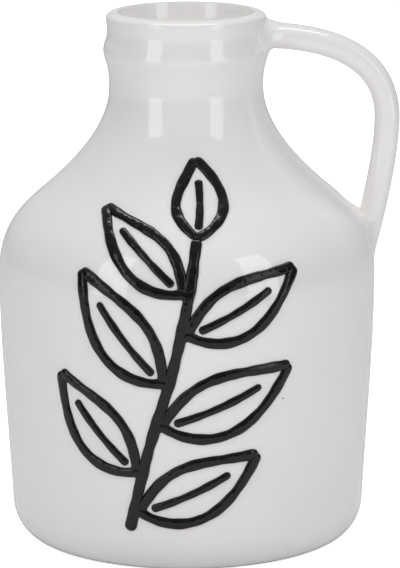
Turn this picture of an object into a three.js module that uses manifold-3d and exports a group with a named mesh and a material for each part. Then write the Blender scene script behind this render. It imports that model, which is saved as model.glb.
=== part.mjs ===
// A stoneware jug vase: a cast, glazed vessel with one loop handle, luted on with slip at the neck
// and at the shoulder, and a leafy sprig on its front, trailed in raised black lines.
// Millimetres, +Z up. The origin is the middle of the foot, on the vessel's axis. The handle points
// to +X and the sprig faces -Y.
import * as THREE from "three";
import { mergeVertices } from "three/addons/utils/BufferGeometryUtils.js";
import Module from "manifold-3d";

const wasm = await Module();
wasm.setup();

// Vessel, from the foot upwards: the wall takes the height that the other rises leave
const HEIGHT = 205; // from the foot to the top of the rim
const FOOT_RADIUS = 56; // outer edge of the ring that the vessel stands on
const FOOT_WIDTH = 9;
const FOOT_RECESS = 1.2; // hollow under the floor, inside the foot ring
const BASE_RADIUS = 68.4; // where the rounded lower edge ends and the wall starts
const EDGE_RISE = 14;
const BODY_RADIUS = 72.8; // widest place
const SHOULDER_INSET = 17; // to where the shoulder stops swelling and turns hollow
const SHOULDER_RISE = 32;
const SHOULDER_LEAN = 50; // degrees from upright, at that turn
const NECK_RADIUS = 29.7; // narrowest place
const SWEEP_RISE = 42; // hollow sweep from the turn up to the neck
const BEAD_PROUD = 2.1; // bead round the neck, beyond the neck's radius
const BEAD_RISE = 12.05;
const COVE_PROUD = 0.6;
const COVE_RISE = 7.45;
const LIP_PROUD = 0.95;
const LIP_RISE = 5.3;
const CREST_RISE = 2.2; // rounded edge of the rim, from the lip up to the crest
const RIM_WIDTH = 4.35; // from the lip in to the crest
const RIM_SLOPE = 6; // degrees that the top of the rim falls towards the lip
const MOUTH_DROP = 14; // from the crest down to the throat
const THROAT_WALL = 5.7; // from the neck's radius in to the throat
const WALL = 5; // thickness of the cast clay

// Handle: its middle line lies in the XZ plane
const HANDLE_THICKNESS = 9.6; // in the plane of the loop
const HANDLE_WIDTH = 14; // across that plane
const HANDLE_DROP = 9.7; // from the crest of the rim to the middle of the upper end
const HANDLE_LIFT = 3.3; // degrees that the upper end rises as it leaves the neck
const HANDLE_OVERHANG = 4.4; // reach of the middle line beyond the body
const HANDLE_BEND_DROP = 41.3; // from the crest of the rim to that reach
const HANDLE_LEAN = 20; // degrees from upright at the lower end
const HANDLE_TUCK = 7; // how far inside the body the middle line ends, at the widest place
const UPPER_SPREAD = 12; // extra half-width where the upper end meets the neck
const LOWER_SPREAD = 14; // extra half-width where the lower end meets the shoulder
const UPPER_FILLET = 3; // extra half-thickness at the upper end
const LOWER_FILLET = 3; // extra half-thickness at the lower end
const FILLET_REACH = 9; // distance from the wall over which an end swells

// Slip that lutes the handle to the wall
const SLIP_THICKNESS = 1;
const SLIP_PROUD = 0.6; // how far the collar stands out round the end of the handle
const JOINT_GAP = 0.3;

// Trailed lines of the sprig. Across is measured round the wall from its front middle, and up is
// measured along the face from the edge of the foot.
const STEM_WIDTH = 4.4;
const EDGE_WIDTH = 4; // line round a leaf
const VEIN_WIDTH = 3;
const LINE_RELIEF = 1.2; // crest of a line above the wall
const LINE_GAP = 0.3; // wall to the underside of a line
const LINE_SPACING = 0.6; // least room between two lines
const STEM_PATH = [
  [-22, 24],
  [-15, 54],
  [-5, 88],
  [1, 116],
  [4, 138],
];
const LEAF_BEND = 9; // degrees that a leaf turns towards the tip of the stem
const LEAF_BELLY = 0.8; // below 1, a leaf is widest nearer to the stem than to its tip
const VEIN_REACH = 0.74; // share of the leaf's length where its vein stops
const LEAVES = [
  { name: "leaf_1", at: 0.06, side: 1, angle: 60, length: 50, width: 21 },
  { name: "leaf_2", at: 0.19, side: -1, angle: 64, length: 48, width: 20 },
  { name: "leaf_3", at: 0.36, side: 1, angle: 58, length: 54, width: 22 },
  { name: "leaf_4", at: 0.5, side: -1, angle: 63, length: 52, width: 21 },
  { name: "leaf_5", at: 0.67, side: 1, angle: 57, length: 48, width: 20 },
  { name: "leaf_6", at: 0.8, side: -1, angle: 60, length: 46, width: 19 },
  { name: "leaf_7", at: 1, side: 1, angle: 0, length: 36, width: 18 },
];

// Glazes
const WHITE_GLAZE = 0xdbd9d5;
const BLACK_GLAZE = 0x1d1b19;
const WHITE_ROUGHNESS = 0.12;
const BLACK_ROUGHNESS = 0.2;

// Fineness of the facets
const ROUND_STEPS = 60; // round the vessel
const HANDLE_STEPS = 44;
const HANDLE_SIDES = 16;
const HANDLE_SQUARENESS = 3; // exponent of the section: 2 is an ellipse
const LINE_STEP = 3.6; // length of one step along a line
const LINE_ENDS = [0, 0.25, 0.6]; // steps near an end of a line, in widths of the line
const LINE_BLUNTNESS = 0.2; // fullness that is left at the very end of a line
const LINE_SECTION = [
  [-1, 0],
  [1, 0],
  [0.75, 0.7],
  [0, 1],
  [-0.75, 0.7],
]; // half-widths sideways and shares of the relief, round a line
const LEAF_SHARES = 200; // shares of a leaf that are tested for room
const LEAF_KNOTS = 12; // stretches of a smooth path along a leaf
const STEM_SPOTS = 120;

const UP = new THREE.Vector2(0, 1);
const OUT = new THREE.Vector2(1, 0);
const radians = THREE.MathUtils.degToRad;
const place = (radius, height) => new THREE.Vector2(radius, height);

// A curve that leaves one point and reaches another along given directions. The shares say how far
// each direction is kept, as parts of the straight distance.
function blend(start, leaving, leavingShare, end, arriving, arrivingShare) {
  const reach = start.distanceTo(end);
  const first = start.clone().addScaledVector(leaving, reach * leavingShare);
  const second = end.clone().addScaledVector(arriving, -reach * arrivingShare);
  return new THREE.CubicBezierCurve(start, first, second, end);
}

// Outer face of the vessel in (radius, height), from the edge of the foot to the top of the rim
const foot = place(FOOT_RADIUS, 0);
const base = place(BASE_RADIUS, EDGE_RISE);
const lip = place(NECK_RADIUS + LIP_PROUD, HEIGHT - CREST_RISE);
const crest = place(lip.x - RIM_WIDTH, HEIGHT);
const cove = place(NECK_RADIUS + COVE_PROUD, lip.y - LIP_RISE);
const bead = place(NECK_RADIUS + BEAD_PROUD, cove.y - COVE_RISE);
const neck = place(NECK_RADIUS, bead.y - BEAD_RISE);
const turn = place(BODY_RADIUS - SHOULDER_INSET, neck.y - SWEEP_RISE);
const widest = place(BODY_RADIUS, turn.y - SHOULDER_RISE);
const wallLean = widest.clone().sub(base).normalize();
const shoulderLean = place(-Math.sin(radians(SHOULDER_LEAN)), Math.cos(radians(SHOULDER_LEAN)));
const FACE = [
  { curve: blend(foot, OUT, 0.38, base, wallLean, 0.43), steps: 4 },
  { curve: blend(base, wallLean, 0.33, widest, UP, 0.33), steps: 4 },
  { curve: blend(widest, UP, 0.44, turn, shoulderLean, 0.36), steps: 6 },
  { curve: blend(turn, shoulderLean, 0.74, neck, UP, 0.08), steps: 8 },
  { curve: blend(neck, UP, 0.55, bead, UP, 0.23), steps: 4 },
  { curve: blend(bead, UP, 0.44, cove, UP, 0.44), steps: 3 },
  { curve: blend(cove, UP, 0.44, lip, UP, 0.44), steps: 2 },
];
const NECK_CURVES = 3; // the last curves of the face, which the inside of the neck doesn't follow
const IN = OUT.clone().negate();
const DOWN = UP.clone().negate();
const rimLean = place(-Math.cos(radians(RIM_SLOPE)), Math.sin(radians(RIM_SLOPE)));
const throat = place(NECK_RADIUS - THROAT_WALL, HEIGHT - MOUTH_DROP);
const RIM = [
  { curve: blend(lip, UP, 0.22, crest, rimLean, 0.68), steps: 4 },
];
const MOUTH = [
  { curve: blend(crest, IN, 0.05, throat, DOWN, 0.42), steps: 5 },
];

// Points of some curves, each moved out along its normal
function offsetPoints(curves, offset) {
  const points = [];
  for (const { curve, steps } of curves) {
    for (let step = points.length ? 1 : 0; step <= steps; step += 1) {
      const tangent = curve.getTangent(step / steps);
      const normal = place(tangent.y, -tangent.x);
      points.push(curve.getPoint(step / steps).addScaledVector(normal, offset));
    }
  }
  return points;
}

// Finely spaced points of the face, with the distance run so far
const FINE_STEPS = 60;
const fineFace = offsetPoints(FACE.map(({ curve }) => ({ curve, steps: FINE_STEPS })), 0);
const faceRun = [0];
for (let index = 1; index < fineFace.length; index += 1) {
  faceRun.push(faceRun[index - 1] + fineFace[index].distanceTo(fineFace[index - 1]));
}

// Radius of the outer face at a height
function radiusAt(height) {
  const within = Math.min(height, lip.y);
  const next = Math.max(1, fineFace.findIndex((point) => point.y >= within));
  const low = fineFace[next - 1];
  const high = fineFace[next];
  return low.x + ((high.x - low.x) * (within - low.y)) / (high.y - low.y);
}

// Place and outward direction on the front of the wall, across and up
function onWall(across, up) {
  const next = Math.max(1, faceRun.findIndex((run) => run >= up));
  const share = (up - faceRun[next - 1]) / (faceRun[next] - faceRun[next - 1]);
  const { x: radius, y: height } = fineFace[next - 1].clone().lerp(fineFace[next], share);
  const along = fineFace[next].clone().sub(fineFace[next - 1]).normalize();
  const turned = across / radius;
  const facing = new THREE.Vector3(Math.sin(turned), -Math.cos(turned), 0);
  return {
    point: facing.clone().multiplyScalar(radius).setZ(height),
    normal: facing.clone().multiplyScalar(along.y).setZ(-along.x),
  };
}

// A solid turned about the vessel's axis
function turned(points) {
  return new THREE.LatheGeometry(points, ROUND_STEPS).rotateX(Math.PI / 2);
}

// A closed skin over rings of points, each ring running right-handed about the way from the first
// ring to the last
function loft(rings) {
  const sides = rings[0].length;
  const points = rings.flat();
  const faces = [];
  for (let ring = 0; ring + 1 < rings.length; ring += 1) {
    for (let side = 0; side < sides; side += 1) {
      const here = ring * sides + side;
      const beside = ring * sides + ((side + 1) % sides);
      faces.push(here, beside, beside + sides, here, beside + sides, here + sides);
    }
  }
  const sum = (ring) => ring.reduce((total, point) => total.add(point), new THREE.Vector3());
  const middle = (ring) => sum(ring).divideScalar(sides);
  const last = (rings.length - 1) * sides;
  points.push(middle(rings[0]), middle(rings.at(-1)));
  for (let side = 0; side < sides; side += 1) {
    const beside = (side + 1) % sides;
    faces.push(points.length - 2, beside, side);
    faces.push(points.length - 1, last + side, last + beside);
  }
  const geometry = new THREE.BufferGeometry().setFromPoints(points);
  geometry.setIndex(faces);
  return geometry;
}

// A closed solid that can be joined and cut
function solid(geometry) {
  geometry.deleteAttribute("normal");
  geometry.deleteAttribute("uv");
  const merged = mergeVertices(geometry, 1e-4);
  return new wasm.Manifold(
    new wasm.Mesh({
      numProp: 3,
      vertProperties: new Float32Array(merged.attributes.position.array),
      triVerts: new Uint32Array(merged.index.array),
    }),
  );
}

// The geometry of a joined or cut solid
function shapeOf(manifold) {
  const { vertProperties, triVerts } = manifold.getMesh();
  const geometry = new THREE.BufferGeometry();
  geometry.setAttribute("position", new THREE.BufferAttribute(vertProperties, 3));
  geometry.setIndex(new THREE.BufferAttribute(triVerts, 1));
  return geometry;
}

// The cast vessel: foot ring, wall, shoulder, neck, bead and rim round one open hollow
function vesselBody() {
  const followed = FACE.slice(0, -NECK_CURVES).map(({ curve, steps }) => ({ curve, steps: steps / 2 }));
  const inside = offsetPoints(followed, -WALL).reverse();
  return turned([
    place(0, FOOT_RECESS),
    place(FOOT_RADIUS - FOOT_WIDTH - FOOT_RECESS, FOOT_RECESS),
    place(FOOT_RADIUS - FOOT_WIDTH, 0),
    ...offsetPoints([...FACE, ...RIM, ...MOUTH], 0),
    ...inside,
    place(0, WALL),
  ]);
}

// The filled shape of the vessel, swollen by a distance
function envelope(distance) {
  const points = offsetPoints([...FACE, ...RIM], distance);
  return solid(turned([place(0, -distance), ...points, place(0, crest.y + distance)]));
}

// Middle line of the handle in (x, z), from inside the neck to inside the shoulder
function handleLine() {
  const start = place(NECK_RADIUS - 2 * WALL, crest.y - HANDLE_DROP);
  const reach = place(BODY_RADIUS + HANDLE_OVERHANG, crest.y - HANDLE_BEND_DROP);
  const end = place(BODY_RADIUS - HANDLE_TUCK, widest.y);
  const leaving = place(Math.cos(radians(HANDLE_LIFT)), Math.sin(radians(HANDLE_LIFT)));
  const arriving = place(-Math.sin(radians(HANDLE_LEAN)), -Math.cos(radians(HANDLE_LEAN)));
  const line = new THREE.CurvePath();
  line.add(blend(start, leaving, 0.48, reach, DOWN, 0.39));
  line.add(blend(reach, DOWN, 0.33, end, arriving, 0.05));
  return line;
}

// A stretch of the handle's bar, between two shares of its middle line, made fatter all round by a
// margin. It swells where it nears the wall, most of all on the inside of the loop.
function handleBar(from, to, margin) {
  const line = handleLine();
  const rings = [];
  for (let step = from * HANDLE_STEPS; step <= to * HANDLE_STEPS; step += 1) {
    const share = step / HANDLE_STEPS;
    const middle = line.getPointAt(share);
    const along = line.getTangentAt(share);
    const [spread, fillet] = share < 0.5 ? [UPPER_SPREAD, UPPER_FILLET] : [LOWER_SPREAD, LOWER_FILLET];
    const ring = [];
    for (let side = 0; side < HANDLE_SIDES; side += 1) {
      const angle = (2 * Math.PI * side) / HANDLE_SIDES;
      const cos = Math.cos(angle);
      const sin = Math.sin(angle);
      const inward = Math.sign(cos) * Math.abs(cos) ** (2 / HANDLE_SQUARENESS);
      const sideways = Math.sign(sin) * Math.abs(sin) ** (2 / HANDLE_SQUARENESS);
      const at = (thick, wide) => {
        const offset = inward * thick;
        return new THREE.Vector3(middle.x + along.y * offset, sideways * wide, middle.y - along.x * offset);
      };
      const plain = at(HANDLE_THICKNESS / 2, HANDLE_WIDTH / 2);
      const clear = Math.max(0, Math.hypot(plain.x, plain.y) - radiusAt(plain.z));
      const swell = (Math.max(0, 1 - clear / FILLET_REACH) ** 2 * (1 + cos)) / 2;
      const thick = HANDLE_THICKNESS / 2 + swell * fillet + margin;
      const wide = HANDLE_WIDTH / 2 + swell * spread + margin;
      ring.push(at(thick, wide));
    }
    rings.push(ring);
  }
  return solid(loft(rings));
}

// The handle, cut to sit on the slip at both ends
function handle() {
  const seat = envelope(JOINT_GAP + SLIP_THICKNESS + JOINT_GAP);
  return shapeOf(handleBar(0, 1, 0).subtract(seat));
}

// The collar of slip between the wall and one end of the handle
function slipJoint(from, to) {
  const layer = envelope(JOINT_GAP + SLIP_THICKNESS).subtract(envelope(JOINT_GAP));
  return shapeOf(handleBar(from, to, SLIP_PROUD).intersect(layer));
}

// One trailed line: a low round bead along a path on the wall, narrowing to round ends
function trailedLine(path, width) {
  const length = path.getLength();
  const steps = Math.ceil(length / LINE_STEP);
  const evenRuns = Array.from({ length: steps }, (_, step) => (length * step) / steps);
  const runs = [
    ...LINE_ENDS.map((end) => end * width),
    ...evenRuns.filter((run) => run > width && run < length - width),
    ...LINE_ENDS.map((end) => length - end * width).reverse(),
  ];
  const rings = runs.map((run) => {
    const spot = path.getPointAt(run / length);
    const ahead = path.getTangentAt(run / length).add(spot);
    const { point, normal } = onWall(spot.x, spot.y);
    const along = onWall(ahead.x, ahead.y).point.sub(point);
    const beside = normal.clone().cross(along).normalize();
    const fromEnd = Math.min(run, length - run) / width;
    const fullness = Math.sin((Math.PI / 2) * Math.min(1, LINE_BLUNTNESS + fromEnd));
    return LINE_SECTION.map(([sideways, rise]) =>
      point
        .clone()
        .addScaledVector(beside, (sideways * width * fullness) / 2)
        .addScaledVector(normal, LINE_GAP + rise * (LINE_RELIEF - LINE_GAP) * fullness),
    );
  });
  return loft(rings);
}

// The outline of one leaf: its middle line and half its width, by share of its length
function leafShape(leaf, stem) {
  const root = stem.getPointAt(leaf.at);
  const along = stem.getTangentAt(leaf.at);
  const origin = place(0, 0);
  const angle = radians(leaf.angle) * -leaf.side;
  const bend = radians(LEAF_BEND) * leaf.side;
  const leaving = along.clone().rotateAround(origin, angle);
  const besideStem = (STEM_WIDTH / 2 + LINE_SPACING) / Math.sin(radians(leaf.angle));
  const start = root.clone().addScaledVector(leaving, leaf.angle ? besideStem : LINE_SPACING);
  const tip = start.clone().addScaledVector(leaving.clone().rotateAround(origin, bend), leaf.length);
  const middle = start.clone().addScaledVector(leaving, leaf.length / 2);
  const line = new THREE.QuadraticBezierCurve(start, middle, tip);
  const halfWidth = (share) => (leaf.width / 2) * Math.sin(Math.PI * share ** LEAF_BELLY);
  const at = (share, offset) => {
    const way = line.getTangent(share);
    return line.getPoint(share).add(place(-way.y, way.x).multiplyScalar(offset * leaf.side));
  };
  return { halfWidth, at };
}

// First and last share of a leaf's length that pass a test
function spanWhere(passes) {
  const shares = Array.from({ length: LEAF_SHARES + 1 }, (_, index) => index / LEAF_SHARES);
  const passing = shares.filter(passes);
  return [passing[0], passing.at(-1)];
}

// A path through evenly spaced shares of a leaf
function leafPath(from, to, pointAt) {
  const shares = Array.from({ length: LEAF_KNOTS + 1 }, (_, index) => index / LEAF_KNOTS);
  return new THREE.SplineCurve(shares.map((share) => pointAt(from + (to - from) * share)));
}

const vase = new THREE.Group();

// Adds one named piece with its glaze
function addPiece(name, geometry, color, roughness) {
  const material = new THREE.MeshStandardMaterial({ color, roughness, metalness: 0 });
  const mesh = new THREE.Mesh(geometry, material);
  mesh.name = name;
  vase.add(mesh);
}

addPiece("vessel_body", vesselBody(), WHITE_GLAZE, WHITE_ROUGHNESS);
addPiece("handle", handle(), WHITE_GLAZE, WHITE_ROUGHNESS);
addPiece("upper_slip_joint", slipJoint(0, 0.5), WHITE_GLAZE, WHITE_ROUGHNESS);
addPiece("lower_slip_joint", slipJoint(0.5, 1), WHITE_GLAZE, WHITE_ROUGHNESS);

// The sprig: a stem, and for each leaf its lower edge, its upper edge and its vein
const stem = new THREE.SplineCurve(STEM_PATH.map(([across, up]) => place(across, up)));
addPiece("stem_line", trailedLine(stem, STEM_WIDTH), BLACK_GLAZE, BLACK_ROUGHNESS);
const stemSpots = stem.getSpacedPoints(STEM_SPOTS);
const stemRoom = (STEM_WIDTH + EDGE_WIDTH) / 2 + LINE_SPACING;
const edgeRoom = (EDGE_WIDTH + LINE_SPACING) / 2;
const veinRoom = (EDGE_WIDTH + VEIN_WIDTH) / 2 + 2 * LINE_SPACING;
for (const leaf of LEAVES) {
  const { halfWidth, at } = leafShape(leaf, stem);
  const clearOfStem = (point) => Math.min(...stemSpots.map((spot) => spot.distanceTo(point))) >= stemRoom;
  const [edgeStart, edgeEnd] = spanWhere(
    (share) => halfWidth(share) >= edgeRoom && clearOfStem(at(share, halfWidth(share))),
  );
  const [veinStart] = spanWhere((share) => halfWidth(share) >= veinRoom);
  const lower = leafPath(0, 1, (share) => at(share, -halfWidth(share)));
  const upper = leafPath(edgeStart, edgeEnd, (share) => at(share, halfWidth(share)));
  const vein = leafPath(veinStart, VEIN_REACH, (share) => at(share, 0));
  addPiece(`${leaf.name}_lower_edge`, trailedLine(lower, EDGE_WIDTH), BLACK_GLAZE, BLACK_ROUGHNESS);
  addPiece(`${leaf.name}_upper_edge`, trailedLine(upper, EDGE_WIDTH), BLACK_GLAZE, BLACK_ROUGHNESS);
  addPiece(`${leaf.name}_vein`, trailedLine(vein, VEIN_WIDTH), BLACK_GLAZE, BLACK_ROUGHNESS);
}

export default vase;
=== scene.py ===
"""Looks of a white stoneware jug vase with a loop handle and a sprig in raised black lines.

Every piece is modelled in millimetres in the part's own frame, +Z up, with the handle to +X and the
sprig to -Y. Its mesh is brought to metres when the piece is finished.
"""

from __future__ import annotations

import logging
import math
from bisect import bisect_left
from collections.abc import Iterable, Sequence
from dataclasses import dataclass
from enum import Enum
from functools import cached_property
from itertools import accumulate, pairwise

import bmesh
import bpy
from bmesh.types import BMEdge, BMesh, BMVert
from bpy.types import Material, Node, NodeSocket, NodeTree, Object, ShaderNodeTree
from mathutils import Matrix, Vector
from mathutils.geometry import interpolate_bezier


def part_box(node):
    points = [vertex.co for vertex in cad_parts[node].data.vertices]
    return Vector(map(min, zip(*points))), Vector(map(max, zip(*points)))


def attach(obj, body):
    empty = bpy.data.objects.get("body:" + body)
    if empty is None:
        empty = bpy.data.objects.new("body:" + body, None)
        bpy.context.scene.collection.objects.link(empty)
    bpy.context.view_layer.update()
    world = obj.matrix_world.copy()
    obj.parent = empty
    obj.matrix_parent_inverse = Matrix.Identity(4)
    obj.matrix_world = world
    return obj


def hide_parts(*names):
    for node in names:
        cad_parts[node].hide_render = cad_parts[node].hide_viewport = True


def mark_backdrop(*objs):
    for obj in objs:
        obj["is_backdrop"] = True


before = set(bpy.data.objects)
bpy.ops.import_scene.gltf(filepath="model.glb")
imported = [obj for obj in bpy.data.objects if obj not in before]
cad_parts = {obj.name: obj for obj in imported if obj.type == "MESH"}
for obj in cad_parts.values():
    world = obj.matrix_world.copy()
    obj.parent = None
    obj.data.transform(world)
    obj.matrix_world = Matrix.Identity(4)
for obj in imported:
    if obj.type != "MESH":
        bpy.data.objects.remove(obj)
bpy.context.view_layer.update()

LOG = logging.getLogger("vase")
BODY = "root"

MM = 0.001  # metres
MERGE_DISTANCE = 0.0005  # millimetres
SHARP_ANGLE = math.radians(40)
HEADING_STEP = 0.002  # share of a line's length over which its direction is taken
SPLINE_PART = 6  # a smooth line heads along its neighbours' span, for this part of it
CORNER_SHARE = 2 / 3  # how far the ends of a simple bend head towards its corner
PURE_WHITE = (1, 1, 1, 1)

UP = Vector((0, 1))
OUT = Vector((1, 0))

Colour = tuple[float, float, float]
Place = tuple[float, float, float]  # metres


class Slot(Enum):
    """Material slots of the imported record."""

    WHITE = "white_glaze"
    BLACK = "black_glaze"


class BarEnd(Enum):
    """Ends of the handle's bar, as the way along it that leads to the wall."""

    UPPER = -1
    LOWER = 1


class Side(Enum):
    """Left or right as the camera sees the vase, as a sign across it."""

    LEFT = -1
    RIGHT = 1


class Path:
    """A smooth line, held as closely spaced places and measured along its length."""

    def __init__(self, places: Sequence[Vector]) -> None:
        """Keeps the places and the distance run to each of them.

        Args:
            places: Closely spaced places along the line.
        """
        self.places = list(places)
        steps = ((after - before).length for before, after in pairwise(self.places))
        self.runs = list(accumulate(steps, initial=0.0))
        self.length = self.runs[-1]

    def at(self, run: float) -> Vector:
        """Finds a place on the line, or on its straight continuation.

        Args:
            run: Distance from the start of the line.

        Returns:
            The place.
        """
        after = min(max(bisect_left(self.runs, run), 1), len(self.runs) - 1)
        share = (run - self.runs[after - 1]) / (self.runs[after] - self.runs[after - 1])
        return self.places[after - 1].lerp(self.places[after], share)

    def heading(self, run: float) -> Vector:
        """Finds the direction of the line.

        Args:
            run: Distance from the start of the line.

        Returns:
            The direction, of length 1.
        """
        step = self.length * HEADING_STEP
        return (self.at(run + step) - self.at(run - step)).normalized()


def turned(direction: Vector, degrees: float) -> Vector:
    """Turns a flat direction anticlockwise.

    Args:
        direction: Direction in a plane.
        degrees: Angle of the turn.

    Returns:
        The turned direction.
    """
    return Matrix.Rotation(math.radians(degrees), 2) @ direction


def eased(share: float) -> float:
    """Share of a smooth step that starts and ends level."""
    return share ** 2 * (3 - 2 * share)


@dataclass(frozen=True)
class Pull:
    """How far a curve keeps to its directions, as shares of the straight distance."""

    start: float
    end: float
    steps: int  # along the curve


def bend(start: Vector, leaving: Vector, end: Vector, arriving: Vector, pull: Pull) -> list[Vector]:
    """Draws a curve that leaves one place and reaches another along given directions.

    Args:
        start: First place.
        leaving: Direction at the start, of length 1.
        end: Last place.
        arriving: Direction at the end, of length 1.
        pull: How far the curve keeps to these directions, and its number of steps.

    Returns:
        The places along the curve, both ends included.
    """
    reach = (end - start).length
    first = start + leaving * (reach * pull.start)
    second = end - arriving * (reach * pull.end)
    return interpolate_bezier(start, first, second, end, pull.steps + 1)


def chained(curves: Iterable[Sequence[Vector]]) -> list[Vector]:
    """Joins curves end to end, with each shared place kept once.

    Args:
        curves: Curves, each starting where the last one ends.

    Returns:
        The places along all of them.
    """
    places: list[Vector] = []
    for curve in curves:
        places.extend(curve[1:] if places else curve)
    return places


def moved_out(curve: Sequence[Vector], distance: float) -> list[Vector]:
    """Moves a curve to its right-hand side.

    Args:
        curve: Places in a plane.
        distance: Distance of the move, along each place's normal.

    Returns:
        The moved places.
    """
    last = len(curve) - 1
    moved = []
    for index, place in enumerate(curve):
        along = (curve[min(index + 1, last)] - curve[max(index - 1, 0)]).normalized()
        moved.append(place + Vector((along.y, -along.x)) * distance)
    return moved


def sweep(mesh: BMesh, rings: Sequence[Sequence[Vector]], looped: bool = False) -> None:
    """Skins a row of rings, by extruding the first ring from each one to the next.

    Args:
        mesh: Mesh that takes the skin.
        rings: Places round each ring, as many in one as in another.
        looped: Whether the last ring joins the first one. Otherwise both ends are capped.
    """
    side_of = mesh.verts.layers.int.new("side")
    circle = bmesh.ops.create_circle(mesh, segments=len(rings[0]), radius=1)["verts"]
    for side, vert in enumerate(circle):
        vert[side_of] = side
        vert.co = rings[0][side]
    first = list({edge for vert in circle for edge in vert.link_edges})
    edges = first
    for ring in rings[1:]:
        made = bmesh.ops.extrude_edge_only(mesh, edges=edges)["geom"]
        fresh = {item for item in made if isinstance(item, BMVert)}
        for vert in fresh:
            vert.co = ring[vert[side_of]]
        edges = [item for item in made if isinstance(item, BMEdge) and fresh.issuperset(item.verts)]
    if looped:
        bmesh.ops.bridge_loops(mesh, edges=first + edges)
        return
    for loop in (first, edges):
        caps = bmesh.ops.edgeloop_fill(mesh, edges=loop)["faces"]
        bmesh.ops.poke(mesh, faces=caps)


def finish_piece(mesh: BMesh, name: str, node: str, material: Material) -> Object:
    """Makes a finished piece of a mesh in millimetres, which stands for one node of the part.

    Args:
        mesh: Closed mesh, which is used up.
        name: Name of the piece.
        node: Node that it stands for.
        material: Its finish.

    Returns:
        The piece.
    """
    bmesh.ops.remove_doubles(mesh, verts=mesh.verts, dist=MERGE_DISTANCE)
    bmesh.ops.recalc_face_normals(mesh, faces=mesh.faces)
    bmesh.ops.scale(mesh, vec=(MM, MM, MM), verts=mesh.verts)
    for face in mesh.faces:
        face.smooth = True
    data = bpy.data.meshes.new(name)
    mesh.to_mesh(data)
    mesh.free()
    data.set_sharp_from_angle(angle=SHARP_ANGLE)
    data.materials.append(material)
    piece = bpy.data.objects.new(name, data)
    bpy.context.scene.collection.objects.link(piece)
    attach(piece, BODY)
    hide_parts(node)
    return piece


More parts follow.
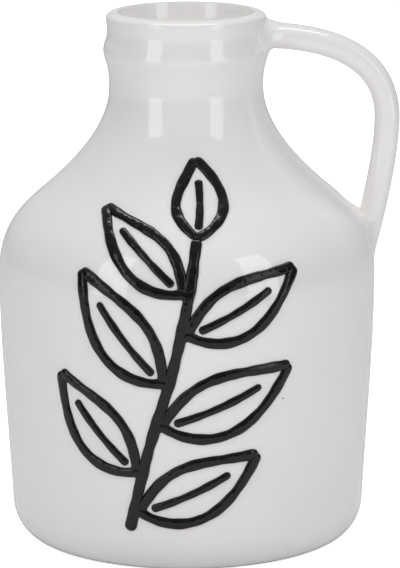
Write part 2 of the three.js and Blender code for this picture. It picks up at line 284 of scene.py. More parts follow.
@dataclass(frozen=True)
class WallProfile:
    """Outline of the vessel in (radius, height), in millimetres."""

    height: float
    body_radius: float
    foot_radius: float = 56.0
    foot_width: float = 9.0
    foot_recess: float = 1.2
    base_radius: float = 68.4
    edge_rise: float = 14.0
    shoulder_inset: float = 17.0
    shoulder_rise: float = 32.0
    shoulder_lean: float = 50.0  # degrees from upright, where the shoulder turns hollow
    neck_radius: float = 29.7
    sweep_rise: float = 42.0
    bead_proud: float = 2.1
    bead_rise: float = 12.05
    cove_proud: float = 0.6
    cove_rise: float = 7.45
    lip_proud: float = 0.95
    lip_rise: float = 5.3
    crest_rise: float = 2.2
    rim_width: float = 4.35  # from the lip in to the crest
    rim_slope: float = 6.0  # degrees that the top of the rim falls towards the lip
    mouth_drop: float = 14.0  # from the crest down to the throat
    throat_wall: float = 5.7  # from the neck's radius in to the throat
    wall: float = 5.0
    edge_pull: Pull = Pull(0.38, 0.43, 18)
    wall_pull: Pull = Pull(0.33, 0.33, 30)
    shoulder_pull: Pull = Pull(0.44, 0.36, 24)
    sweep_pull: Pull = Pull(0.74, 0.08, 32)
    bead_pull: Pull = Pull(0.55, 0.23, 18)
    cove_pull: Pull = Pull(0.44, 0.44, 10)
    lip_pull: Pull = Pull(0.44, 0.44, 8)
    rim_pull: Pull = Pull(0.22, 0.68, 16)
    mouth_pull: Pull = Pull(0.05, 0.42, 28)

    @cached_property
    def lip(self) -> Vector:
        """Place where the rim starts to round over."""
        return Vector((self.neck_radius + self.lip_proud, self.height - self.crest_rise))

    @cached_property
    def crest(self) -> Vector:
        """Top of the rim."""
        return Vector((self.lip.x - self.rim_width, self.height))

    @cached_property
    def cove(self) -> Vector:
        """Hollow between the bead and the rim."""
        return Vector((self.neck_radius + self.cove_proud, self.lip.y - self.lip_rise))

    @cached_property
    def bead(self) -> Vector:
        """Widest place of the bead round the neck."""
        return Vector((self.neck_radius + self.bead_proud, self.cove.y - self.cove_rise))

    @cached_property
    def neck(self) -> Vector:
        """Narrowest place."""
        return Vector((self.neck_radius, self.bead.y - self.bead_rise))

    @cached_property
    def turn(self) -> Vector:
        """Place where the shoulder stops swelling and turns hollow."""
        return Vector((self.body_radius - self.shoulder_inset, self.neck.y - self.sweep_rise))

    @cached_property
    def widest(self) -> Vector:
        """Widest place of the body."""
        return Vector((self.body_radius, self.turn.y - self.shoulder_rise))

    @cached_property
    def body_curves(self) -> list[list[Vector]]:
        """Draws the outer face from the foot up to the neck.

        Returns:
            The curves of the lower edge, the wall, the shoulder and the hollow sweep.
        """
        foot = Vector((self.foot_radius, 0))
        base = Vector((self.base_radius, self.edge_rise))
        wall_lean = (self.widest - base).normalized()
        shoulder_lean = turned(UP, self.shoulder_lean)
        return [
            bend(foot, OUT, base, wall_lean, self.edge_pull),
            bend(base, wall_lean, self.widest, UP, self.wall_pull),
            bend(self.widest, UP, self.turn, shoulder_lean, self.shoulder_pull),
            bend(self.turn, shoulder_lean, self.neck, UP, self.sweep_pull),
        ]

    @cached_property
    def neck_curves(self) -> list[list[Vector]]:
        """Draws the outer face from the neck up to the crest of the rim.

        Returns:
            The curves to the bead, the cove, the lip and the crest.
        """
        rim_lean = turned(-OUT, -self.rim_slope)
        return [
            bend(self.neck, UP, self.bead, UP, self.bead_pull),
            bend(self.bead, UP, self.cove, UP, self.cove_pull),
            bend(self.cove, UP, self.lip, UP, self.lip_pull),
            bend(self.lip, UP, self.crest, rim_lean, self.rim_pull),
        ]

    @cached_property
    def mouth(self) -> list[Vector]:
        """The inner face from the crest of the rim down to the throat."""
        throat = Vector((self.neck_radius - self.throat_wall, self.height - self.mouth_drop))
        return bend(self.crest, -OUT, throat, -UP, self.mouth_pull)

    @cached_property
    def face(self) -> Path:
        """The outer face from the edge of the foot to the crest of the rim."""
        return Path(chained(self.body_curves + self.neck_curves))

    @cached_property
    def heights(self) -> list[float]:
        """Height of each place of the outer face."""
        return [place.y for place in self.face.places]

    def run_at(self, height: float) -> float:
        """Finds where the outer face has a height.

        Args:
            height: Height above the foot.

        Returns:
            The distance along the face from the edge of the foot.
        """
        after = min(max(bisect_left(self.heights, height), 1), len(self.heights) - 1)
        share = (height - self.heights[after - 1]) / (self.heights[after] - self.heights[after - 1])
        return self.face.runs[after - 1] + share * (self.face.runs[after] - self.face.runs[after - 1])

    def on_wall(self, bearing: float, run: float) -> tuple[Vector, Vector]:
        """Finds a place on the outer face.

        Args:
            bearing: Angle round the axis, anticlockwise from +X.
            run: Distance along the face from the edge of the foot.

        Returns:
            The place and the outward direction there.
        """
        place = self.face.at(run)
        along = self.face.heading(run)
        facing = Vector((math.cos(bearing), math.sin(bearing), 0))
        level = Vector((0, 0, 1))
        return facing * place.x + level * place.y, facing * along.y - level * along.x

    def beside(self, place: Vector) -> tuple[Vector, Vector]:
        """Finds the place on the outer face that is level with another one.

        Args:
            place: Any place near the face.

        Returns:
            The place on the face and the outward direction there.
        """
        return self.on_wall(math.atan2(place.y, place.x), self.run_at(place.z))

    def clearance(self, place: Vector) -> float:
        """Measures how far a place stands out from the outer face.

        Args:
            place: Any place near the face.

        Returns:
            The distance, which is negative inside the vessel.
        """
        seat, normal = self.beside(place)
        return (place - seat).dot(normal)

    def settled(self, place: Vector, lift: float) -> Vector:
        """Moves a place to a distance from the outer face.

        Args:
            place: Any place near the face.
            lift: Distance that it then stands out.

        Returns:
            The moved place.
        """
        seat, normal = self.beside(place)
        return seat + normal * lift


@dataclass(frozen=True)
class VesselBody:
    """The cast vessel: foot ring, wall, shoulder, neck, bead and rim round one open hollow."""

    profile: WallProfile
    round_steps: int = 192
    throat_steps: int = 8
    foot_bevel: float = 0.5
    foot_bevel_steps: int = 3
    edge_slack: float = 1.0  # room for finding the foot ring's inner edge

    @cached_property
    def recess_edge(self) -> float:
        """Radius of the foot ring's inner edge."""
        return self.profile.foot_radius - self.profile.foot_width

    def outline(self) -> list[Vector]:
        """Draws the vessel's section.

        Returns:
            The places from the axis under the floor, round the rim, to the axis above the floor.
        """
        shape = self.profile
        inside = [moved_out(curve, -shape.wall) for curve in shape.body_curves]
        hollow = list(reversed(chained(inside)))
        shares = [step / self.throat_steps for step in range(1, self.throat_steps)]
        throat = [shape.mouth[-1].lerp(hollow[0], share) for share in shares]
        return [
            Vector((0, shape.foot_recess)),
            Vector((self.recess_edge - shape.foot_recess, shape.foot_recess)),
            Vector((self.recess_edge, 0)),
            *shape.face.places,
            *shape.mouth[1:],
            *throat,
            *hollow,
            Vector((0, shape.wall)),
        ]

    def build(self, material: Material) -> Object:
        """Turns the section about the axis.

        Args:
            material: The white glaze.

        Returns:
            The vessel.
        """
        mesh = bmesh.new()
        verts = [mesh.verts.new((place.x, 0, place.y)) for place in self.outline()]
        edges = [mesh.edges.new(pair) for pair in pairwise(verts)]
        bmesh.ops.spin(
            mesh, geom=verts + edges, cent=(0, 0, 0), axis=(0, 0, 1), angle=2 * math.pi,
            steps=self.round_steps, use_merge=True,
        )
        bmesh.ops.remove_doubles(mesh, verts=mesh.verts, dist=MERGE_DISTANCE)
        limit = self.recess_edge + self.edge_slack
        inner_edge = [
            edge for edge in mesh.edges
            if all(abs(vert.co.z) < MERGE_DISTANCE and vert.co.length < limit for vert in edge.verts)
        ]
        bmesh.ops.bevel(
            mesh, geom=inner_edge, offset=self.foot_bevel, segments=self.foot_bevel_steps,
            profile=0.5, affect="EDGES", material=-1,
        )
        return finish_piece(mesh, "glazed_vessel", "vessel_body", material)


@dataclass(frozen=True)
class HandleBar:
    """The loop handle: one bar of squarish section along a bent middle line."""

    profile: WallProfile
    thickness: float = 9.6  # in the plane of the loop
    width: float = 14.0  # across that plane
    drop: float = 9.7  # from the crest of the rim to the middle of the upper end
    lift: float = 3.3  # degrees that the upper end rises as it leaves the neck
    overhang: float = 4.4  # reach of the middle line beyond the body
    bend_drop: float = 41.3  # from the crest of the rim to that reach
    lean: float = 20.0  # degrees from upright at the lower end
    tuck: float = 7.0  # how far inside the body the middle line ends
    squareness: float = 3.0  # exponent of the section's outer half: 2 is an ellipse
    inner_squareness: float = 2.4  # the same for the half inside the loop
    start_walls: float = 2.0  # wall thicknesses inside the neck where the middle line starts
    upper_pull: Pull = Pull(0.48, 0.39, 300)
    lower_pull: Pull = Pull(0.33, 0.05, 300)
    sides: int = 56
    steps: int = 150
    end_depth: float = 1.5  # how far each end is set into the wall
    search_steps: int = 40

    @cached_property
    def line(self) -> Path:
        """Draws the middle line in (x, z).

        Returns:
            The line, from inside the neck to inside the shoulder.
        """
        shape = self.profile
        start = Vector((shape.neck_radius - self.start_walls * shape.wall, shape.height - self.drop))
        reach = Vector((shape.body_radius + self.overhang, shape.height - self.bend_drop))
        end = Vector((shape.body_radius - self.tuck, shape.widest.y))
        leaving = turned(OUT, self.lift)
        arriving = turned(-UP, -self.lean)
        return Path(chained([
            bend(start, leaving, reach, -UP, self.upper_pull),
            bend(reach, -UP, end, arriving, self.lower_pull),
        ]))

    def section(self, angle: float) -> tuple[Vector, Vector]:
        """Finds a place on the bar's section, in (towards the inside of the loop, sideways).

        Args:
            angle: Angle round the section, from the inside of the loop.

        Returns:
            The place and the outward direction there.
        """
        cos, sin = math.cos(angle), math.sin(angle)
        fullness = 2 / (self.inner_squareness if cos > 0 else self.squareness)
        place = Vector((
            math.copysign(abs(cos) ** fullness, cos) * self.thickness / 2,
            math.copysign(abs(sin) ** fullness, sin) * self.width / 2,
        ))
        normal = Vector((
            math.copysign(abs(cos) ** (2 - fullness), cos) / self.thickness,
            math.copysign(abs(sin) ** (2 - fullness), sin) / self.width,
        ))
        return place, normal.normalized()

    def surface(self, run: float, angle: float) -> tuple[Vector, Vector]:
        """Finds a place on the bar.

        Args:
            run: Distance along the middle line.
            angle: Angle round the section, from the inside of the loop.

        Returns:
            The place and the outward direction there.
        """
        middle = self.line.at(run)
        along = self.line.heading(run)
        inward = Vector((along.y, 0, -along.x))
        sideways = Vector((0, 1, 0))
        place, normal = self.section(angle)
        centre = Vector((middle.x, 0, middle.y))
        return (
            centre + inward * place.x + sideways * place.y,
            inward * normal.x + sideways * normal.y,
        )

    def heading(self, run: float) -> Vector:
        """Direction of the middle line at a distance along it."""
        along = self.line.heading(run)
        return Vector((along.x, 0, along.y))

    def meeting(self, angle: float, end: BarEnd, clearance: float) -> float:
        """Finds where one side of the bar has a clearance from the wall.

        Args:
            angle: Angle round the section.
            end: End of the bar to look towards.
            clearance: Distance outside the wall, negative inside it.

        Returns:
            The distance along the middle line.
        """
        clear = self.line.length / 2
        sunk = 0.0 if end is BarEnd.UPPER else self.line.length
        for _ in range(self.search_steps):
            middle = (clear + sunk) / 2
            if self.profile.clearance(self.surface(middle, angle)[0]) > clearance:
                clear = middle
            else:
                sunk = middle
        return clear

    def angles(self) -> list[float]:
        """Angles of the sides round the section."""
        return [2 * math.pi * side / self.sides for side in range(self.sides)]

    def build(self, material: Material) -> Object:
        """Sweeps the section from the neck to the shoulder.

        Args:
            material: The white glaze.

        Returns:
            The handle.
        """
        angles = self.angles()
        starts = [self.meeting(angle, BarEnd.UPPER, -self.end_depth) for angle in angles]
        ends = [self.meeting(angle, BarEnd.LOWER, -self.end_depth) for angle in angles]
        rings = []
        for step in range(self.steps + 1):
            share = step / self.steps
            runs = [start + (end - start) * share for start, end in zip(starts, ends)]
            rings.append([self.surface(run, angle)[0] for run, angle in zip(runs, angles)])
        mesh = bmesh.new()
        sweep(mesh, rings)
        return finish_piece(mesh, "glazed_handle", "handle", material)


@dataclass(frozen=True)
class Flare:
    """A size of the collar that differs round the handle's bar."""

    beside: float  # on the front and the back of the loop
    inner: float
    outer: float
    focus: int = 6  # even power of the sine that keeps the first size to the bar's sides

    def at(self, angle: float) -> float:
        """Size at an angle round the bar's section, from the inside of the loop."""
        facing = self.inner if math.cos(angle) > 0 else self.outer
        return facing + (self.beside - facing) * math.sin(angle) ** self.focus


@dataclass(frozen=True)
class SlipCollar:
    """A collar of slip that lutes one end of the handle to the wall, smoothed to a fillet."""

    bar: HandleBar
    end: BarEnd
    spread: Flare  # run of the fillet on the wall
    reach: Flare  # run of the fillet along the bar
    bar_cling: Flare  # how far the fillet keeps to the bar, as a share of its reach
    edge: Flare = Flare(beside=0.6, inner=0.05, outer=0.1)  # height of its edge above the wall
    wall_cling: float = 0.5  # how far it keeps to the wall, as a share of its spread
    slope: float = 5.0  # degrees at which the fillet nears the wall
    edge_width: float = 0.8  # run over which the edge falls to the wall
    steps: int = 24
    edge_steps: int = 8
    skin: float = 0.02  # how far the collar's thin edges stand proud
    lap: float = 1.0  # how far they lap over the bar and under the wall's face
    depth: float = 1.5  # how far the hidden side of the collar is set into bar and wall

    def strip(self, angle: float) -> list[Vector]:
        """Draws the collar's section at one side of the bar, as a closed row of places.

        Args:
            angle: Angle round the bar's section.

        Returns:
            The places, from the bar along the fillet to the wall and back inside.
        """
        bar, shape = self.bar, self.bar.profile
        spread, edge = self.spread.at(angle), self.edge.at(angle)
        run = bar.meeting(angle, self.end, 0)
        root, facing = bar.surface(run, angle)
        leave_run = run - self.end.value * self.reach.at(angle)
        leave, leave_facing = bar.surface(leave_run, angle)
        lap, lap_facing = bar.surface(leave_run - self.end.value * self.lap, angle)
        start = leave + leave_facing * self.skin
        normal = shape.beside(root)[1]
        away = (facing - normal * facing.dot(normal)).normalized()
        end = shape.settled(root + away * spread, self.skin + edge)
        end_normal = shape.beside(end)[1]
        level = (away - end_normal * away.dot(end_normal)).normalized()
        slope = math.radians(self.slope)
        arriving = level * math.cos(slope) - end_normal * math.sin(slope)
        leaving = bar.heading(leave_run) * self.end.value
        fillet = interpolate_bezier(
            start,
            start + leaving * (root - leave).length * self.bar_cling.at(angle),
            end - arriving * (end - root).length * self.wall_cling,
            end,
            self.steps + 1,
        )
        shares = [step / self.edge_steps for step in range(1, self.edge_steps + 1)]
        fall = [
            shape.settled(
                root + away * (spread + self.edge_width * share),
                self.skin + edge * (1 - eased(share)),
            )
            for share in shares
        ]
        under_wall = root + away * (spread + self.edge_width + self.lap)
        return [
            lap + lap_facing * self.skin,
            *fillet,
            *fall,
            shape.settled(under_wall, -self.skin),
            shape.settled(under_wall, -self.depth),
            shape.settled(root - facing * self.depth, -self.depth),
            lap - lap_facing * self.depth,
        ]

    def build(self, name: str, node: str, material: Material) -> Object:
        """Skins the collar round the bar.

        Args:
            name: Name of the piece.
            node: Node that it stands for.
            material: The white glaze.

        Returns:
            The collar.
        """
        strips = [self.strip(angle) for angle in self.bar.angles()]
        mesh = bmesh.new()
        sweep(mesh, list(zip(*strips)), looped=True)
        return finish_piece(mesh, name, node, material)


@dataclass(frozen=True)
class TrailedLine:
    """A bead of thick glaze trailed along a path on the front of the wall."""

    path: Path  # (across the wall from its front middle, up along the face from the foot)
    width: float
    phase: float  # sets where along the line the hand was heavier
    relief: float = 1.2
    sunk: float = 0.4  # how far the underside is set into the wall
    dome_sides: int = 14
    dome_fullness: float = 0.75
    step: float = 0.7
    end_steps: int = 7
    heavy_length: float = 19.0
    heavy_share: float = 0.07
    shaky_length: float = 7.3
    shaky_share: float = 0.035

    def runs(self) -> list[float]:
        """Spaces the sections of the line.

        Returns:
            Distances along the line, close together in its two round ends.
        """
        radius = self.width / 2
        quarter = [math.pi / 2 * index / self.end_steps for index in range(1, self.end_steps)]
        start = [radius * (1 - math.cos(angle)) for angle in quarter]
        count = math.ceil((self.path.length - self.width) / self.step)
        middle = [radius + (self.path.length - self.width) * index / count for index in range(count + 1)]
        return start + middle + [self.path.length - run for run in reversed(start)]

    def half_width(self, run: float) -> float:
        """Finds half of the line's width, with the hand's unevenness.

        Args:
            run: Distance along the line.

        Returns:
            The half-width, before the round ends take any of it.
        """
        heavy = self.heavy_share * math.sin(2 * math.pi * run / self.heavy_length + self.phase)
        shaky = self.shaky_share * math.sin(2 * math.pi * run / self.shaky_length + 2 * self.phase)
        return self.width / 2 * (1 + heavy + shaky)

    def fullness(self, run: float) -> float:
        """Share of the line's size that is left in its round ends."""
        from_end = min(run, self.path.length - run) / (self.width / 2)
        return math.sqrt(1 - (1 - min(1.0, from_end)) ** 2)

    def ring(self, shape: WallProfile, run: float) -> list[Vector]:
        """Draws the line's section on the wall.

        Args:
            shape: Outline of the vessel.
            run: Distance along the line.

        Returns:
            The places round the section.
        """
        spot = self.path.at(run)
        ahead = spot + self.path.heading(run)
        place, normal = on_front(shape, spot)
        along = on_front(shape, ahead)[0] - place
        sideways = along.cross(normal).normalized()
        full = self.fullness(run)
        half = self.half_width(run) * full
        ring = [place + sideways * (half * way) - normal * self.sunk for way in (1, -1)]
        for index in range(self.dome_sides + 1):
            angle = math.pi * index / self.dome_sides
            rise = self.relief * full * math.sin(angle) ** self.dome_fullness
            ring.append(place - sideways * (half * math.cos(angle)) + normal * rise)
        return ring

    def build(self, shape: WallProfile, name: str, node: str, material: Material) -> Object:
        """Sweeps the section along the path.

        Args:
            shape: Outline of the vessel.
            name: Name of the piece.
            node: Node that it stands for.
            material: The black glaze.

        Returns:
            The line.
        """
        mesh = bmesh.new()
        sweep(mesh, [self.ring(shape, run) for run in self.runs()])
        return finish_piece(mesh, name, node, material)


def on_front(shape: WallProfile, spot: Vector) -> tuple[Vector, Vector]:
    """Finds a place on the front of the wall.

    Args:
        shape: Outline of the vessel.
        spot: (Across from the front middle, up along the face from the foot).

    Returns:
        The place and the outward direction there.
    """
    radius = shape.face.at(spot.y).x
    return shape.on_wall(spot.x / radius - math.pi / 2, spot.y)


def smooth_path(knots: Sequence[Vector], steps: int) -> Path:
    """Draws a smooth line through places.

    Args:
        knots: The places.
        steps: Number of steps from each place to the next.

    Returns:
        The line.
    """
    padded = [knots[0], *knots, knots[-1]]
    curves = []
    for before, start, end, after in zip(padded, padded[1:], padded[2:], padded[3:]):
        leaving = start + (end - before) / SPLINE_PART
        arriving = end - (after - start) / SPLINE_PART
        curves.append(interpolate_bezier(start, leaving, arriving, end, steps + 1))
    return Path(chained(curves))


@dataclass(frozen=True)
class Leaf:
    """One leaf of the sprig, drawn by two edges and a vein."""

    name: str
    at: float  # share of the stem's length
    side: Side
    angle: float  # degrees from the stem
    length: float
    width: float


@dataclass(frozen=True)
class Sprig:
    """The leafy sprig on the front, trailed in raised black lines."""

    profile: WallProfile
    stem_width: float = 4.4
    edge_width: float = 4.0
    vein_width: float = 3.0
    spacing: float = 0.6
    stem_knots: tuple[tuple[float, float], ...] = (
        (-22, 24), (-15, 54), (-5, 88), (1, 116), (4, 138)
    )  # (across the wall, up along the face)
    leaf_bend: float = 9.0  # degrees that a leaf turns towards the tip of the stem
    leaf_belly: float = 0.8  # below 1, a leaf is widest nearer to the stem than to its tip
    vein_reach: float = 0.74
    path_steps: int = 120
    phase_step: float = 2.1
    leaves: tuple[Leaf, ...] = (
        Leaf("leaf_1", 0.06, Side.RIGHT, 60, 50, 21),
        Leaf("leaf_2", 0.19, Side.LEFT, 64, 48, 20),
        Leaf("leaf_3", 0.36, Side.RIGHT, 58, 54, 22),
        Leaf("leaf_4", 0.5, Side.LEFT, 63, 52, 21),
        Leaf("leaf_5", 0.67, Side.RIGHT, 57, 48, 20),
        Leaf("leaf_6", 0.8, Side.LEFT, 60, 46, 19),
        Leaf("leaf_7", 1.0, Side.RIGHT, 0, 36, 18),
    )

    @cached_property
    def stem(self) -> Path:
        """Middle line of the stem."""
        return smooth_path([Vector(knot) for knot in self.stem_knots], self.path_steps)

    def leaf_lines(self, leaf: Leaf) -> dict[str, tuple[Path, float]]:
        """Draws the lines of one leaf.

        Args:
            leaf: The leaf.

        Returns:
            The path and the width of each line, by the last words of its node's name.
        """
        side = leaf.side.value
        root = self.stem.at(leaf.at * self.stem.length)
        leaving = turned(self.stem.heading(leaf.at * self.stem.length), -side * leaf.angle)
        room = self.spacing
        if leaf.angle:
            room = (self.stem_width / 2 + self.spacing) / math.sin(math.radians(leaf.angle))
        start = root + leaving * room
        tip = start + turned(leaving, side * self.leaf_bend) * leaf.length
        middle = start + leaving * (leaf.length / 2)
        leave, arrive = start.lerp(middle, CORNER_SHARE), tip.lerp(middle, CORNER_SHARE)
        line = interpolate_bezier(start, leave, arrive, tip, self.path_steps + 1)
        shares = [index / self.path_steps for index in range(self.path_steps + 1)]
        halves = [leaf.width / 2 * math.sin(math.pi * share ** self.leaf_belly) for share in shares]
        lower, upper = [root], []
        for index, (place, half) in enumerate(zip(line, halves)):
            along = (line[min(index + 1, self.path_steps)] - line[max(index - 1, 0)]).normalized()
            offset = Vector((-along.y, along.x)) * (half * side)
            lower.append(place - offset)
            upper.append(place + offset)
        vein_room = (self.edge_width + self.vein_width) / 2 + self.spacing
        roomy = next(index for index, half in enumerate(halves) if half >= vein_room)
        vein_end = round(self.vein_reach * self.path_steps)
        return {
            "lower_edge": (Path(lower), self.edge_width),
            "upper_edge": (Path(upper), self.edge_width),
            "vein": (Path(line[roomy:vein_end + 1]), self.vein_width),
        }

    def build(self, material: Material) -> list[Object]:
        """Trails the stem and then each leaf.

        Args:
            material: The black glaze.

        Returns:
            The lines.
        """
        lines = {"stem_line": (self.stem, self.stem_width)}
        for leaf in self.leaves:
            for part, line in self.leaf_lines(leaf).items():
                lines[f"{leaf.name}_{part}"] = line
        pieces = []
        for index, (node, (path, width)) in enumerate(lines.items()):
            line = TrailedLine(path, width, index * self.phase_step)
            pieces.append(line.build(self.profile, f"trailed_{node}", node, material))
        return pieces


class Graph:
    """Nodes of a material or a group, added and joined by short calls."""

    MIX_SHARE, MIX_FIRST, MIX_SECOND = 0, 6, 7  # inputs of a mix of colours
    MIX_RESULT = 2

    def __init__(self, tree: NodeTree) -> None:
        """Keeps the tree that takes the nodes."""
        self.tree = tree

    def add(self, kind: str, inputs: dict[str | int, object] | None = None, **settings: object) -> Node:
        """Adds a node.

        Args:
            kind: Type of the node.
            inputs: Values of its inputs, or the sockets that are joined to them.
            settings: Properties of the node.

        Returns:
            The node.
        """
        node = self.tree.nodes.new(kind)
        for name, setting in settings.items():
            setattr(node, name, setting)
        for name, value in (inputs or {}).items():
            if isinstance(value, NodeSocket):
                self.tree.links.new(value, node.inputs[name])
            else:
                node.inputs[name].default_value = value
        return node

    def math(self, operation: str, *values: object) -> NodeSocket:
        """Works out a number from one, two or three others."""
        node = self.add("ShaderNodeMath", dict(enumerate(values)), operation=operation)
        return node.outputs[0]

    def ranged(
        self, value: NodeSocket, low: float, high: float, to_low: float, to_high: float
    ) -> NodeSocket:
        """Maps a number smoothly from one range to another."""
        inputs = {"Value": value, "From Min": low, "From Max": high, "To Min": to_low, "To Max": to_high}
        node = self.add("ShaderNodeMapRange", inputs, interpolation_type="SMOOTHSTEP")
        return node.outputs[0]

    def mixed(self, share: NodeSocket, first: object, second: object) -> NodeSocket:
        """Mixes two colours by a share."""
        inputs = {self.MIX_SHARE: share, self.MIX_FIRST: first, self.MIX_SECOND: second}
        return self.add("ShaderNodeMix", inputs, data_type="RGBA").outputs[self.MIX_RESULT]


def new_group(
    name: str, inputs: dict[str, str], outputs: Sequence[str]
) -> tuple[ShaderNodeTree, Graph, Node, Node]:
    """Starts a shader node group.

    Args:
        name: Name of the group.
        inputs: Socket type of each input.
        outputs: Names of the outputs, which are numbers.

    Returns:
        The group, its nodes, and its input and output nodes.
    """
    tree = bpy.data.node_groups.new(name, "ShaderNodeTree")
    for socket, kind in inputs.items():
        tree.interface.new_socket(socket, in_out="INPUT", socket_type=kind)
    for socket in outputs:
        tree.interface.new_socket(socket, in_out="OUTPUT", socket_type="NodeSocketFloat")
    graph = Graph(tree)
    return tree, graph, graph.add("NodeGroupInput"), graph.add("NodeGroupOutput")


def frequency(width: float) -> float:
    """Scale of a texture whose features are this wide, in millimetres."""
    return 1 / (width * MM)


@dataclass(frozen=True)
class GlazeEffects:
    """Node groups that every glaze of the vase shares, each built once."""

    mottle_detail: float = 3.0
    mottle_roughness: float = 0.55
    thin_level: float = 0.3  # of the mottle's noise, where the glaze is thinnest
    pooled_level: float = 0.7  # of the mottle's noise, where it is all pooled
    ripple_detail: float = 1.0
    speck_core: float = 0.02  # share of the specks' spacing that is all speck
    speck_edge: float = 0.07  # share where a speck ends

    @cached_property
    def mottle(self) -> ShaderNodeTree:
        """Builds slow changes in the thickness of the glaze: 0 is thin and 1 is pooled.

        Returns:
            The group.
        """
        inputs = {"Coordinates": "NodeSocketVector", "Scale": "NodeSocketFloat"}
        tree, graph, given, result = new_group("glaze_mottle", inputs, ["Pooling"])
        noise = graph.add("ShaderNodeTexNoise", {
            "Vector": given.outputs["Coordinates"],
            "Scale": given.outputs["Scale"],
            "Detail": self.mottle_detail,
            "Roughness": self.mottle_roughness,
        })
        pooling = graph.ranged(noise.outputs[0], self.thin_level, self.pooled_level, 0, 1)
        tree.links.new(pooling, result.inputs["Pooling"])
        return tree

    @cached_property
    def ripple(self) -> ShaderNodeTree:
        """Builds the height of the glaze's skin: broad waves under a fine peel.

        Returns:
            The group.
        """
        inputs = {
            "Coordinates": "NodeSocketVector",
            "Wave Scale": "NodeSocketFloat",
            "Peel Scale": "NodeSocketFloat",
            "Peel Share": "NodeSocketFloat",
        }
        tree, graph, given, result = new_group("glaze_ripple", inputs, ["Height"])
        waves, peel = (
            graph.add("ShaderNodeTexNoise", {
                "Vector": given.outputs["Coordinates"],
                "Scale": given.outputs[scale],
                "Detail": self.ripple_detail,
            })
            for scale in ("Wave Scale", "Peel Scale")
        )
        fine = graph.math("MULTIPLY", peel.outputs[0], given.outputs["Peel Share"])
        tree.links.new(graph.math("ADD", waves.outputs[0], fine), result.inputs["Height"])
        return tree

    @cached_property
    def pinholes(self) -> ShaderNodeTree:
        """Builds a mask of the few specks where the glaze did not close.

        Returns:
            The group.
        """
        inputs = {
            "Coordinates": "NodeSocketVector",
            "Scale": "NodeSocketFloat",
            "Rarity": "NodeSocketFloat",
        }
        tree, graph, given, result = new_group("glaze_pinholes", inputs, ["Specks"])
        cells = graph.add("ShaderNodeTexVoronoi", {
            "Vector": given.outputs["Coordinates"],
            "Scale": given.outputs["Scale"],
        })
        chosen = graph.add("ShaderNodeSeparateColor", {0: cells.outputs["Color"]})
        rare = graph.math("GREATER_THAN", chosen.outputs[0], given.outputs["Rarity"])
        speck = graph.ranged(cells.outputs["Distance"], self.speck_core, self.speck_edge, 1, 0)
        tree.links.new(graph.math("MULTIPLY", rare, speck), result.inputs["Specks"])
        return tree


@dataclass(frozen=True)
class Glaze:
    """A glossy glaze, thin in some places and pooled in others."""

    name: str
    thin_colour: Colour
    pooled_colour: Colour
    speck_colour: Colour
    thin_roughness: float
    pooled_roughness: float
    mottle_width: float
    wave_width: float
    peel_width: float
    peel_share: float
    wave_height: float  # millimetres
    shine: float  # specular level: 0.5 is plain glass
    speck_spacing: float
    speck_rarity: float
    bare_foot: bool = False
    clay_colour: Colour = (0.42, 0.36, 0.29)
    clay_roughness: float = 0.8
    clay_height: float = 0.35  # the glaze is wiped off below this height
    clay_share: float = 0.5  # share of that height that is all clay

    def build(self, effects: GlazeEffects) -> Material:
        """Builds the material.

        Args:
            effects: Node groups that the glazes share.

        Returns:
            The material.
        """
        material = bpy.data.materials.new(self.name)
        material.use_nodes = True
        graph = Graph(material.node_tree)
        shader = material.node_tree.nodes["Principled BSDF"]
        place = graph.add("ShaderNodeTexCoord").outputs["Object"]
        mottle = graph.add("ShaderNodeGroup", node_tree=effects.mottle)
        ripple = graph.add("ShaderNodeGroup", node_tree=effects.ripple)
        holes = graph.add("ShaderNodeGroup", node_tree=effects.pinholes)
        for group in (mottle, ripple, holes):
            material.node_tree.links.new(place, group.inputs["Coordinates"])
        mottle.inputs["Scale"].default_value = frequency(self.mottle_width)
        ripple.inputs["Wave Scale"].default_value = frequency(self.wave_width)
        ripple.inputs["Peel Scale"].default_value = frequency(self.peel_width)
        ripple.inputs["Peel Share"].default_value = self.peel_share
        holes.inputs["Scale"].default_value = frequency(self.speck_spacing)
        holes.inputs["Rarity"].default_value = self.speck_rarity
        pooling = mottle.outputs["Pooling"]
        colour = graph.mixed(pooling, (*self.thin_colour, 1), (*self.pooled_colour, 1))
        colour = graph.mixed(holes.outputs["Specks"], colour, (*self.speck_colour, 1))
        roughness = graph.ranged(pooling, 0, 1, self.thin_roughness, self.pooled_roughness)
        if self.bare_foot:
            height = graph.add("ShaderNodeSeparateXYZ", {0: place}).outputs["Z"]
            edge = self.clay_height * MM
            bare = graph.ranged(height, edge * self.clay_share, edge, 1, 0)
            colour = graph.mixed(bare, colour, (*self.clay_colour, 1))
            gap = graph.math("SUBTRACT", self.clay_roughness, roughness)
            roughness = graph.math("MULTIPLY_ADD", bare, gap, roughness)
        skin = graph.math("SUBTRACT", ripple.outputs["Height"], holes.outputs["Specks"])
        relief = {"Height": skin, "Distance": self.wave_height * MM, "Strength": 1}
        bump = graph.add("ShaderNodeBump", relief)
        links = material.node_tree.links
        links.new(colour, shader.inputs["Base Color"])
        links.new(roughness, shader.inputs["Roughness"])
        shader.inputs["Specular IOR Level"].default_value = self.shine
        links.new(bump.outputs["Normal"], shader.inputs["Normal"])
        return material


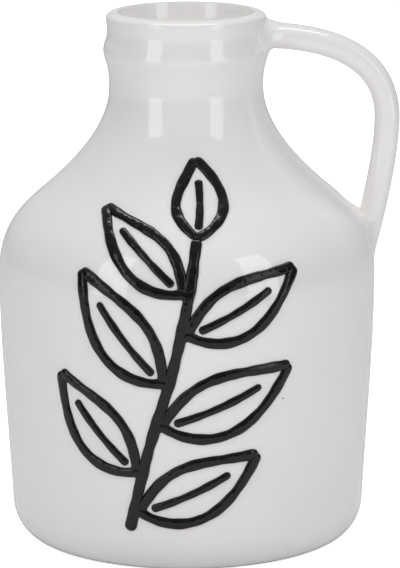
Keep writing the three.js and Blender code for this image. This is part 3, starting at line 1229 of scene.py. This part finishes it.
WHITE_GLAZE = Glaze(
    name="white_glaze",
    thin_colour=(0.92, 0.906, 0.89),
    pooled_colour=(0.935, 0.922, 0.908),
    speck_colour=(0.2, 0.17, 0.14),
    thin_roughness=0.03,
    pooled_roughness=0.015,
    mottle_width=30,
    wave_width=9,
    peel_width=2.2,
    peel_share=0.03,
    wave_height=0.12,
    shine=0.8,
    speck_spacing=9,
    speck_rarity=0.93,
    bare_foot=True,
)
BLACK_GLAZE = Glaze(
    name="black_glaze",
    thin_colour=(0.01, 0.009, 0.008),
    pooled_colour=(0.004, 0.0038, 0.0038),
    speck_colour=(0.03, 0.026, 0.022),
    thin_roughness=0.16,
    pooled_roughness=0.07,
    mottle_width=4,
    wave_width=3,
    peel_width=0.9,
    peel_share=0.25,
    wave_height=0.3,
    shine=0.4,
    speck_spacing=6,
    speck_rarity=0.9,
)


@dataclass(frozen=True)
class Softbox:
    """A plain rectangular studio light."""

    name: str
    place: Place
    target: Place
    width: float
    height: float
    watts: float
    colour: Colour = (1, 1, 1)
    mirrored: bool = True  # whether the glaze reflects it

    def build(self) -> Object:
        """Hangs the light.

        Returns:
            The light.
        """
        data = bpy.data.lights.new(self.name, "AREA")
        data.shape = "RECTANGLE"
        data.size = self.width
        data.size_y = self.height
        data.energy = self.watts
        data.color = self.colour
        light = bpy.data.objects.new(self.name, data)
        bpy.context.scene.collection.objects.link(light)
        light.location = self.place
        aim = Vector(self.target) - Vector(self.place)
        light.rotation_euler = aim.to_track_quat("-Z", "Y").to_euler()
        light.visible_camera = False
        light.visible_glossy = self.mirrored
        return light


@dataclass(frozen=True)
class Studio:
    """Pale floor, soft light and the camera of the photograph's view, in metres."""

    camera_place: Place = (0.00508, -1.5, 0.42475)
    camera_pitch: float = 12.287  # degrees below level
    camera_roll: float = 0.1665
    lens: float = 250.6  # millimetres, on a sensor of the usual width
    sensor: float = 36.0
    view_depth: float = 8.0  # how far the camera sees
    floor_size: float = 4.0
    floor_colour: Colour = (0.9, 0.9, 0.9)
    floor_roughness: float = 0.9
    floor_glow: float = 0.86  # added where the camera looks straight at the floor
    back_light: float = 0.58  # of the room behind the vase
    sky_light: float = 0.32  # of the room overhead
    strip_bearing: float = 45.0  # degrees from the camera's side
    strip_distance: float = 0.75
    strip_width: float = 0.27
    strip_height: float = 0.74
    strip_base: float = 0.06  # above the floor
    strip_watts: float = 1.03
    strip_colour: Colour = (1.0, 0.985, 1.03)
    top_place: Place = (0, 0.35, 1.6)
    top_width: float = 1.2
    top_depth: float = 0.3
    top_watts: float = 6.2
    fill_place: Place = (0, -1.3, 1.25)
    fill_target: Place = (0, 0, 0.12)
    fill_width: float = 2.4
    fill_height: float = 1.6
    fill_watts: float = 11.5
    mouth_lamp_height: float = 0.172  # in the neck, below what the camera sees
    mouth_lamp_size: float = 0.03
    mouth_lamp_watts: float = 0.0034

    def build_floor(self) -> Object:
        """Lays the floor.

        Returns:
            The floor.
        """
        mesh = bmesh.new()
        bmesh.ops.create_grid(mesh, x_segments=1, y_segments=1, size=self.floor_size)
        data = bpy.data.meshes.new("studio_floor")
        mesh.to_mesh(data)
        mesh.free()
        material = bpy.data.materials.new("studio_floor")
        material.use_nodes = True
        shader = material.node_tree.nodes["Principled BSDF"]
        shader.inputs["Base Color"].default_value = (*self.floor_colour, 1)
        shader.inputs["Roughness"].default_value = self.floor_roughness
        shader.inputs["Emission Color"].default_value = PURE_WHITE
        graph = Graph(material.node_tree)
        looked_at = graph.add("ShaderNodeLightPath").outputs["Is Camera Ray"]
        glow = graph.math("MULTIPLY", looked_at, self.floor_glow)
        material.node_tree.links.new(glow, shader.inputs["Emission Strength"])
        data.materials.append(material)
        floor = bpy.data.objects.new("studio_floor", data)
        bpy.context.scene.collection.objects.link(floor)
        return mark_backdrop(floor)

    def build_world(self) -> None:
        """Fills the room with soft light from behind the vase and from overhead."""
        world = bpy.data.worlds.new("studio")
        world.use_nodes = True
        graph = Graph(world.node_tree)
        background = world.node_tree.nodes["Background"]
        background.inputs["Color"].default_value = PURE_WHITE
        direction = graph.add("ShaderNodeTexCoord").outputs["Generated"]
        axes = graph.add("ShaderNodeSeparateXYZ", {0: direction}).outputs
        behind = graph.math("MAXIMUM", axes["Y"], 0.0)
        overhead = graph.math("MAXIMUM", axes["Z"], 0.0)
        strength = graph.math("MULTIPLY", behind, self.back_light)
        strength = graph.math("MULTIPLY_ADD", overhead, self.sky_light, strength)
        world.node_tree.links.new(strength, background.inputs["Strength"])
        bpy.context.scene.world = world

    def build_lights(self) -> None:
        """Hangs two tall softboxes, one overhead, one over the camera and a small lamp in the neck."""
        middle = self.strip_base + self.strip_height / 2
        for side in Side:
            bearing = math.radians(self.strip_bearing) * side.value
            across = math.sin(bearing) * self.strip_distance
            depth = -math.cos(bearing) * self.strip_distance
            Softbox(
                name=f"strip_{side.name.lower()}",
                place=(across, depth, middle),
                target=(0, 0, middle),
                width=self.strip_width,
                height=self.strip_height,
                watts=self.strip_watts,
                colour=self.strip_colour,
            ).build()
        across, depth, _ = self.top_place
        Softbox(
            name="overhead",
            place=self.top_place,
            target=(across, depth, 0),
            width=self.top_width,
            height=self.top_depth,
            watts=self.top_watts,
        ).build()
        Softbox(
            name="front_fill",
            place=self.fill_place,
            target=self.fill_target,
            width=self.fill_width,
            height=self.fill_height,
            watts=self.fill_watts,
            mirrored=False,
        ).build()
        Softbox(
            name="mouth_lamp",
            place=(0, 0, self.mouth_lamp_height),
            target=(0, 0, 1),
            width=self.mouth_lamp_size,
            height=self.mouth_lamp_size,
            watts=self.mouth_lamp_watts,
        ).build()

    def build_camera(self) -> Object:
        """Places the camera at the photograph's viewing angle.

        Returns:
            The camera.
        """
        data = bpy.data.cameras.new("photo_camera")
        data.lens = self.lens
        data.sensor_width = self.sensor
        data.clip_end = self.view_depth
        camera = bpy.data.objects.new("photo_camera", data)
        bpy.context.scene.collection.objects.link(camera)
        pitch = Matrix.Rotation(math.radians(90 - self.camera_pitch), 4, "X")
        roll = Matrix.Rotation(math.radians(-self.camera_roll), 4, "Z")
        camera.matrix_world = Matrix.Translation(self.camera_place) @ pitch @ roll
        bpy.context.scene.camera = camera
        return camera

    def build(self) -> None:
        """Sets up the whole studio."""
        bpy.context.scene.view_settings.view_transform = "Standard"
        self.build_camera()
        self.build_floor()
        self.build_world()
        self.build_lights()


def main() -> None:
    """Builds the studio, the finishes and each piece of the vase."""
    logging.basicConfig(level=logging.INFO, format="%(message)s")
    Studio().build()
    effects = GlazeEffects()
    white = WHITE_GLAZE.build(effects)
    black = BLACK_GLAZE.build(effects)
    vessel_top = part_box("vessel_body")[1] / MM
    profile = WallProfile(height=vessel_top.z, body_radius=vessel_top.x)
    bar = HandleBar(profile)
    upper = SlipCollar(
        bar,
        BarEnd.UPPER,
        spread=Flare(beside=6.2, inner=2.2, outer=2.4),
        reach=Flare(beside=13, inner=2.5, outer=9),
        bar_cling=Flare(beside=0.5, inner=0.5, outer=0.5),
    )
    lower = SlipCollar(
        bar,
        BarEnd.LOWER,
        spread=Flare(beside=5.7, inner=8, outer=1.2),
        reach=Flare(beside=11, inner=2.8, outer=4),
        bar_cling=Flare(beside=0.5, inner=0.05, outer=0.5),
    )
    pieces = [
        VesselBody(profile).build(white),
        bar.build(white),
        upper.build("upper_collar", "upper_slip_joint", white),
        lower.build("lower_collar", "lower_slip_joint", white),
        *Sprig(profile).build(black),
    ]
    for piece in pieces:
        LOG.info("%s is made, with %d faces", piece.name, len(piece.data.polygons))


if __name__ == "__main__":
    main()
